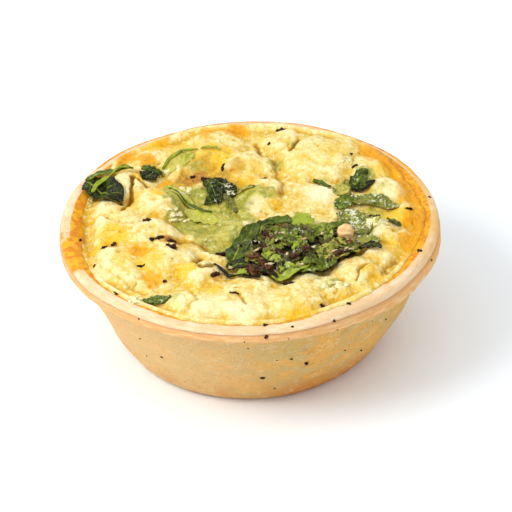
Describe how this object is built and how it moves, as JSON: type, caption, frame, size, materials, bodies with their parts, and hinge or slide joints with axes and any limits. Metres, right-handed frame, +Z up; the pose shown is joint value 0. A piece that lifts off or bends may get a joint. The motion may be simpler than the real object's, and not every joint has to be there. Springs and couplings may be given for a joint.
{
  "type": "spinach quiche",
  "caption": "Small round spinach quiche in a flared pastry case with a rolled lip, lumpy baked egg top and wilted spinach leaves.",
  "frame": {"origin": "middle of the flat underside of the pastry case, at the height of the surface it rests on", "axes": "+Z up, -Y towards the front of the quiche, where the bunch of spinach lies nearer the rim, +X to its right"},
  "size_m": [0.1083, 0.1077, 0.0438],
  "materials": {
    "pastry": "baked shortcrust, matt and slightly greasy",
    "baked_egg": "baked egg and cheese, soft satin with golden brown patches",
    "dark_spinach": "wilted spinach, dark green with a wet gloss and charred tips",
    "pale_spinach": "spinach under a film of egg, yellow green",
    "cheese": "toasted cheese curd, matt"
  },
  "bodies": {
    "root": {"pastry_case": "pastry", "egg_filling": "baked_egg", "spinach_bunch": "dark_spinach", "spinach_leaf_rim": "dark_spinach", "spinach_leaf_back": "dark_spinach", "spinach_leaf_pale": "pale_spinach", "spinach_leaf_sunk": "pale_spinach", "spinach_leaf_right": "dark_spinach", "spinach_leaf_strip": "dark_spinach", "spinach_leaf_front": "pale_spinach", "spinach_tuft": "dark_spinach", "spinach_leaf_frosted": "dark_spinach", "spinach_shred": "dark_spinach", "cheese_curd": "cheese"}
  },
  "joints": []
}
